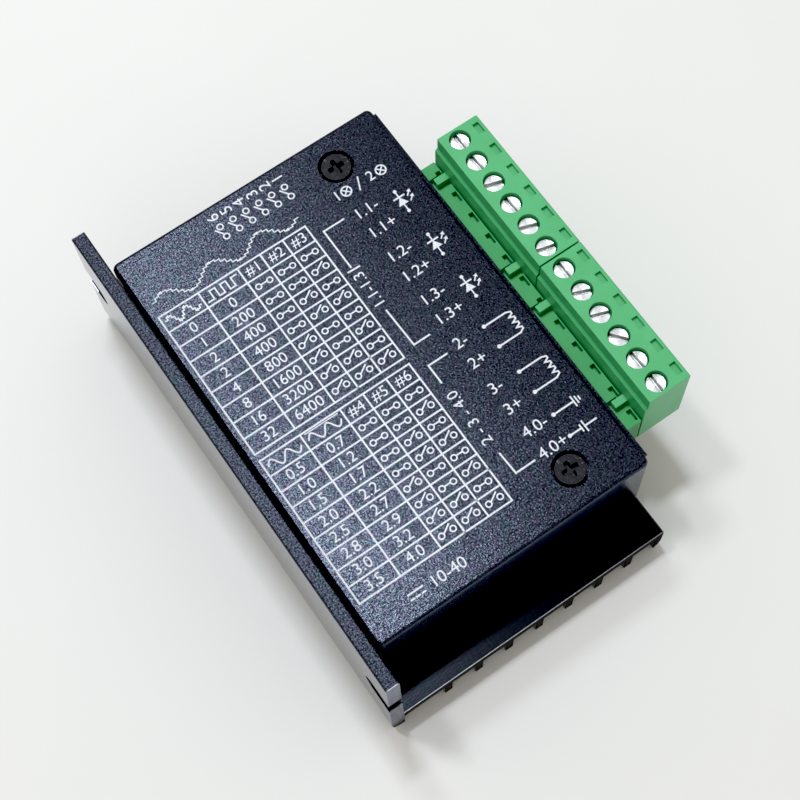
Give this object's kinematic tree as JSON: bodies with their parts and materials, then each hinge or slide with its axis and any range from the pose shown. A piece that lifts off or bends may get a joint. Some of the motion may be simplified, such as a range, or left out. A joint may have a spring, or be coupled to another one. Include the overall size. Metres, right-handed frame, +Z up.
{
  "type": "stepper driver module",
  "caption": "Finned L-shaped black heat sink under a bevelled black cover, with green pluggable screw terminals along one side, setting switches at one end and open mounting slots.",
  "frame": {"origin": "centre of the bounding box in X and Y, at the level of the fin tips that the module stands on", "axes": "+X from the heat sink's tall wall towards the terminals, +Y along the module towards the switch end, +Z up from the fin tips through the cover"},
  "size_m": [0.071, 0.096, 0.0334],
  "materials": {
    "anodised": "black anodised, bare sawn ends",
    "cover_black": "fine moulded grain",
    "black_steel": "black oxide",
    "board_green": "solder mask",
    "brass": "turned",
    "chip_black": "moulded epoxy",
    "thermal_pad": "soft silicone",
    "aluminium": "milled",
    "can_black": "shrink sleeve",
    "ceramic": "fired",
    "header_green": "satin moulded",
    "plug_green": "satin moulded",
    "nickel": "nickel plated",
    "switch_red": "moulded",
    "slider_white": "moulded",
    "lamp_green": "tinted lens",
    "lamp_red": "tinted lens"
  },
  "bodies": {
    "housing": {"heat_sink": "anodised", "circuit_board": "board_green", "cover": "cover_black", "cover_screw_near": "black_steel", "cover_screw_far": "black_steel", "spacer_near_terminal": "brass", "spacer_far_terminal": "brass", "spacer_near_wall": "brass", "spacer_far_wall": "brass", "board_screw_near_wall": "nickel", "board_screw_far_wall": "nickel", "driver_chip": "chip_black", "thermal_pad": "thermal_pad", "heat_block": "aluminium", "capacitor_1": "can_black", "capacitor_2": "can_black", "optocoupler_1": "chip_black", "optocoupler_2": "chip_black", "optocoupler_3": "chip_black", "sense_resistor_1": "ceramic", "sense_resistor_2": "ceramic", "regulator": "chip_black", "switch_body": "switch_red", "power_lamp": "lamp_green", "alarm_lamp": "lamp_red", "terminal_header": "header_green"},
    "signal_plug": {"signal_plug": "plug_green"},
    "power_plug": {"power_plug": "plug_green"},
    "switch_slider_1": {"switch_slider_1": "slider_white"},
    "switch_slider_2": {"switch_slider_2": "slider_white"},
    "switch_slider_3": {"switch_slider_3": "slider_white"},
    "switch_slider_4": {"switch_slider_4": "slider_white"},
    "switch_slider_5": {"switch_slider_5": "slider_white"},
    "switch_slider_6": {"switch_slider_6": "slider_white"},
    "clamp_screw_1": {"clamp_screw_1": "nickel"},
    "clamp_cage_1": {"clamp_cage_1": "nickel"},
    "clamp_screw_2": {"clamp_screw_2": "nickel"},
    "clamp_cage_2": {"clamp_cage_2": "nickel"},
    "clamp_screw_3": {"clamp_screw_3": "nickel"},
    "clamp_cage_3": {"clamp_cage_3": "nickel"},
    "clamp_screw_4": {"clamp_screw_4": "nickel"},
    "clamp_cage_4": {"clamp_cage_4": "nickel"},
    "clamp_screw_5": {"clamp_screw_5": "nickel"},
    "clamp_cage_5": {"clamp_cage_5": "nickel"},
    "clamp_screw_6": {"clamp_screw_6": "nickel"},
    "clamp_cage_6": {"clamp_cage_6": "nickel"},
    "clamp_screw_7": {"clamp_screw_7": "nickel"},
    "clamp_cage_7": {"clamp_cage_7": "nickel"},
    "clamp_screw_8": {"clamp_screw_8": "nickel"},
    "clamp_cage_8": {"clamp_cage_8": "nickel"},
    "clamp_screw_9": {"clamp_screw_9": "nickel"},
    "clamp_cage_9": {"clamp_cage_9": "nickel"},
    "clamp_screw_10": {"clamp_screw_10": "nickel"},
    "clamp_cage_10": {"clamp_cage_10": "nickel"},
    "clamp_screw_11": {"clamp_screw_11": "nickel"},
    "clamp_cage_11": {"clamp_cage_11": "nickel"},
    "clamp_screw_12": {"clamp_screw_12": "nickel"},
    "clamp_cage_12": {"clamp_cage_12": "nickel"}
  },
  "joints": [
    {"name": "signal_plug_pull", "type": "slide", "parent": "housing", "child": "signal_plug", "axis": [1, 0, 0], "range_m": [0, 0.012]},
    {"name": "power_plug_pull", "type": "slide", "parent": "housing", "child": "power_plug", "axis": [1, 0, 0], "range_m": [0, 0.012]},
    {"name": "switch_1_slide", "type": "slide", "parent": "housing", "child": "switch_slider_1", "axis": [0, 0, 1], "range_m": [0, 0.0019]},
    {"name": "switch_2_slide", "type": "slide", "parent": "housing", "child": "switch_slider_2", "axis": [0, 0, 1], "range_m": [0, 0.0019]},
    {"name": "switch_3_slide", "type": "slide", "parent": "housing", "child": "switch_slider_3", "axis": [0, 0, 1], "range_m": [0, 0.0019]},
    {"name": "switch_4_slide", "type": "slide", "parent": "housing", "child": "switch_slider_4", "axis": [0, 0, 1], "range_m": [0, 0.0019]},
    {"name": "switch_5_slide", "type": "slide", "parent": "housing", "child": "switch_slider_5", "axis": [0, 0, 1], "range_m": [0, 0.0019]},
    {"name": "switch_6_slide", "type": "slide", "parent": "housing", "child": "switch_slider_6", "axis": [0, 0, 1], "range_m": [0, 0.0019]},
    {"name": "clamp_screw_1_turn", "type": "hinge", "parent": "signal_plug", "child": "clamp_screw_1", "pos_m": [0.03025, 0.02467, 0.0316], "axis": [0, 0, 1], "range_deg": [-1440, 1440]},
    {"name": "clamp_cage_1_lift", "type": "slide", "parent": "signal_plug", "child": "clamp_cage_1", "axis": [0, 0, 1], "range_m": [-0.0015, 0.0015]},
    {"name": "clamp_screw_2_turn", "type": "hinge", "parent": "signal_plug", "child": "clamp_screw_2", "pos_m": [0.03025, 0.01959, 0.0316], "axis": [0, 0, 1], "range_deg": [-1440, 1440]},
    {"name": "clamp_cage_2_lift", "type": "slide", "parent": "signal_plug", "child": "clamp_cage_2", "axis": [0, 0, 1], "range_m": [-0.0015, 0.0015]},
    {"name": "clamp_screw_3_turn", "type": "hinge", "parent": "signal_plug", "child": "clamp_screw_3", "pos_m": [0.03025, 0.01451, 0.0316], "axis": [0, 0, 1], "range_deg": [-1440, 1440]},
    {"name": "clamp_cage_3_lift", "type": "slide", "parent": "signal_plug", "child": "clamp_cage_3", "axis": [0, 0, 1], "range_m": [-0.0015, 0.0015]},
    {"name": "clamp_screw_4_turn", "type": "hinge", "parent": "signal_plug", "child": "clamp_screw_4", "pos_m": [0.03025, 0.00943, 0.0316], "axis": [0, 0, 1], "range_deg": [-1440, 1440]},
    {"name": "clamp_cage_4_lift", "type": "slide", "parent": "signal_plug", "child": "clamp_cage_4", "axis": [0, 0, 1], "range_m": [-0.0015, 0.0015]},
    {"name": "clamp_screw_5_turn", "type": "hinge", "parent": "signal_plug", "child": "clamp_screw_5", "pos_m": [0.03025, 0.00435, 0.0316], "axis": [0, 0, 1], "range_deg": [-1440, 1440]},
    {"name": "clamp_cage_5_lift", "type": "slide", "parent": "signal_plug", "child": "clamp_cage_5", "axis": [0, 0, 1], "range_m": [-0.0015, 0.0015]},
    {"name": "clamp_screw_6_turn", "type": "hinge", "parent": "signal_plug", "child": "clamp_screw_6", "pos_m": [0.03025, -0.00073, 0.0316], "axis": [0, 0, 1], "range_deg": [-1440, 1440]},
    {"name": "clamp_cage_6_lift", "type": "slide", "parent": "signal_plug", "child": "clamp_cage_6", "axis": [0, 0, 1], "range_m": [-0.0015, 0.0015]},
    {"name": "clamp_screw_7_turn", "type": "hinge", "parent": "power_plug", "child": "clamp_screw_7", "pos_m": [0.03025, -0.00581, 0.0316], "axis": [0, 0, 1], "range_deg": [-1440, 1440]},
    {"name": "clamp_cage_7_lift", "type": "slide", "parent": "power_plug", "child": "clamp_cage_7", "axis": [0, 0, 1], "range_m": [-0.0015, 0.0015]},
    {"name": "clamp_screw_8_turn", "type": "hinge", "parent": "power_plug", "child": "clamp_screw_8", "pos_m": [0.03025, -0.01089, 0.0316], "axis": [0, 0, 1], "range_deg": [-1440, 1440]},
    {"name": "clamp_cage_8_lift", "type": "slide", "parent": "power_plug", "child": "clamp_cage_8", "axis": [0, 0, 1], "range_m": [-0.0015, 0.0015]},
    {"name": "clamp_screw_9_turn", "type": "hinge", "parent": "power_plug", "child": "clamp_screw_9", "pos_m": [0.03025, -0.01597, 0.0316], "axis": [0, 0, 1], "range_deg": [-1440, 1440]},
    {"name": "clamp_cage_9_lift", "type": "slide", "parent": "power_plug", "child": "clamp_cage_9", "axis": [0, 0, 1], "range_m": [-0.0015, 0.0015]},
    {"name": "clamp_screw_10_turn", "type": "hinge", "parent": "power_plug", "child": "clamp_screw_10", "pos_m": [0.03025, -0.02105, 0.0316], "axis": [0, 0, 1], "range_deg": [-1440, 1440]},
    {"name": "clamp_cage_10_lift", "type": "slide", "parent": "power_plug", "child": "clamp_cage_10", "axis": [0, 0, 1], "range_m": [-0.0015, 0.0015]},
    {"name": "clamp_screw_11_turn", "type": "hinge", "parent": "power_plug", "child": "clamp_screw_11", "pos_m": [0.03025, -0.02613, 0.0316], "axis": [0, 0, 1], "range_deg": [-1440, 1440]},
    {"name": "clamp_cage_11_lift", "type": "slide", "parent": "power_plug", "child": "clamp_cage_11", "axis": [0, 0, 1], "range_m": [-0.0015, 0.0015]},
    {"name": "clamp_screw_12_turn", "type": "hinge", "parent": "power_plug", "child": "clamp_screw_12", "pos_m": [0.03025, -0.03121, 0.0316], "axis": [0, 0, 1], "range_deg": [-1440, 1440]},
    {"name": "clamp_cage_12_lift", "type": "slide", "parent": "power_plug", "child": "clamp_cage_12", "axis": [0, 0, 1], "range_m": [-0.0015, 0.0015]}
  ],
  "couplings": [
    {"joint": "clamp_screw_1_turn", "follows": "clamp_cage_1_lift", "rad_per_m": -12566},
    {"joint": "clamp_screw_2_turn", "follows": "clamp_cage_2_lift", "rad_per_m": -12566},
    {"joint": "clamp_screw_3_turn", "follows": "clamp_cage_3_lift", "rad_per_m": -12566},
    {"joint": "clamp_screw_4_turn", "follows": "clamp_cage_4_lift", "rad_per_m": -12566},
    {"joint": "clamp_screw_5_turn", "follows": "clamp_cage_5_lift", "rad_per_m": -12566},
    {"joint": "clamp_screw_6_turn", "follows": "clamp_cage_6_lift", "rad_per_m": -12566},
    {"joint": "clamp_screw_7_turn", "follows": "clamp_cage_7_lift", "rad_per_m": -12566},
    {"joint": "clamp_screw_8_turn", "follows": "clamp_cage_8_lift", "rad_per_m": -12566},
    {"joint": "clamp_screw_9_turn", "follows": "clamp_cage_9_lift", "rad_per_m": -12566},
    {"joint": "clamp_screw_10_turn", "follows": "clamp_cage_10_lift", "rad_per_m": -12566},
    {"joint": "clamp_screw_11_turn", "follows": "clamp_cage_11_lift", "rad_per_m": -12566},
    {"joint": "clamp_screw_12_turn", "follows": "clamp_cage_12_lift", "rad_per_m": -12566}
  ]
}
